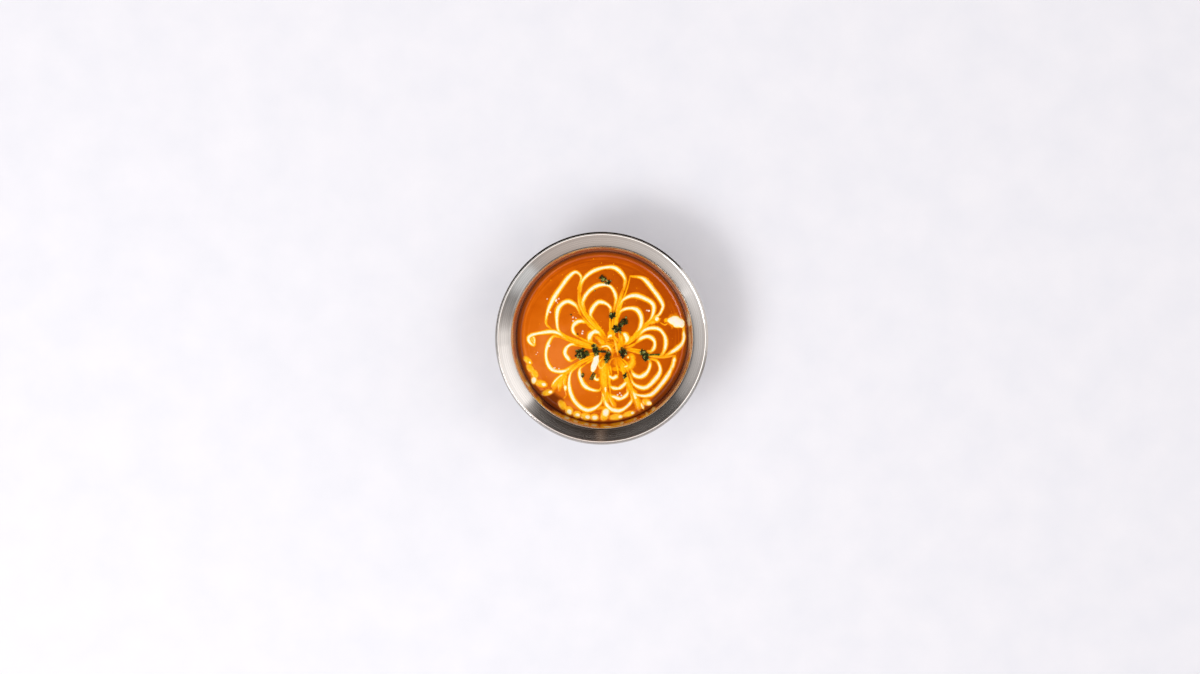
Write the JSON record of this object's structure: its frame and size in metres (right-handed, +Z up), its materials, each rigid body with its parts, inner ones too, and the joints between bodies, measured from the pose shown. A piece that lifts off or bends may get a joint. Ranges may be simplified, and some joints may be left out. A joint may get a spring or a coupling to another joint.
{
  "type": "bowl of tomato soup",
  "caption": "Round flanged stainless steel bowl filled with tomato soup, topped with a feathered cream flower and chopped herbs.",
  "frame": {"origin": "middle of the bowl's flat base, on the surface it stands on", "axes": "+Z up, out of the open bowl; +Y towards the top of the cream flower, +X towards the cream pool at the wall"},
  "size_m": [0.14, 0.14, 0.056],
  "materials": {
    "steel": "spun stainless steel, fine rings round the axis, rolled edge",
    "soup": "smooth wet deep orange soup",
    "cream": "wet cream with a yellow edge where it sinks into the soup",
    "herb": "moist chopped green herb leaf"
  },
  "bodies": {
    "root": {"bowl": "steel", "soup": "soup", "cream_pool": "cream", "cream_dollop": "cream", "herb_clump_west": "herb", "herb_clump_inner": "herb", "herb_clump_centre": "herb", "herb_sprig_east": "herb"}
  },
  "joints": []
}
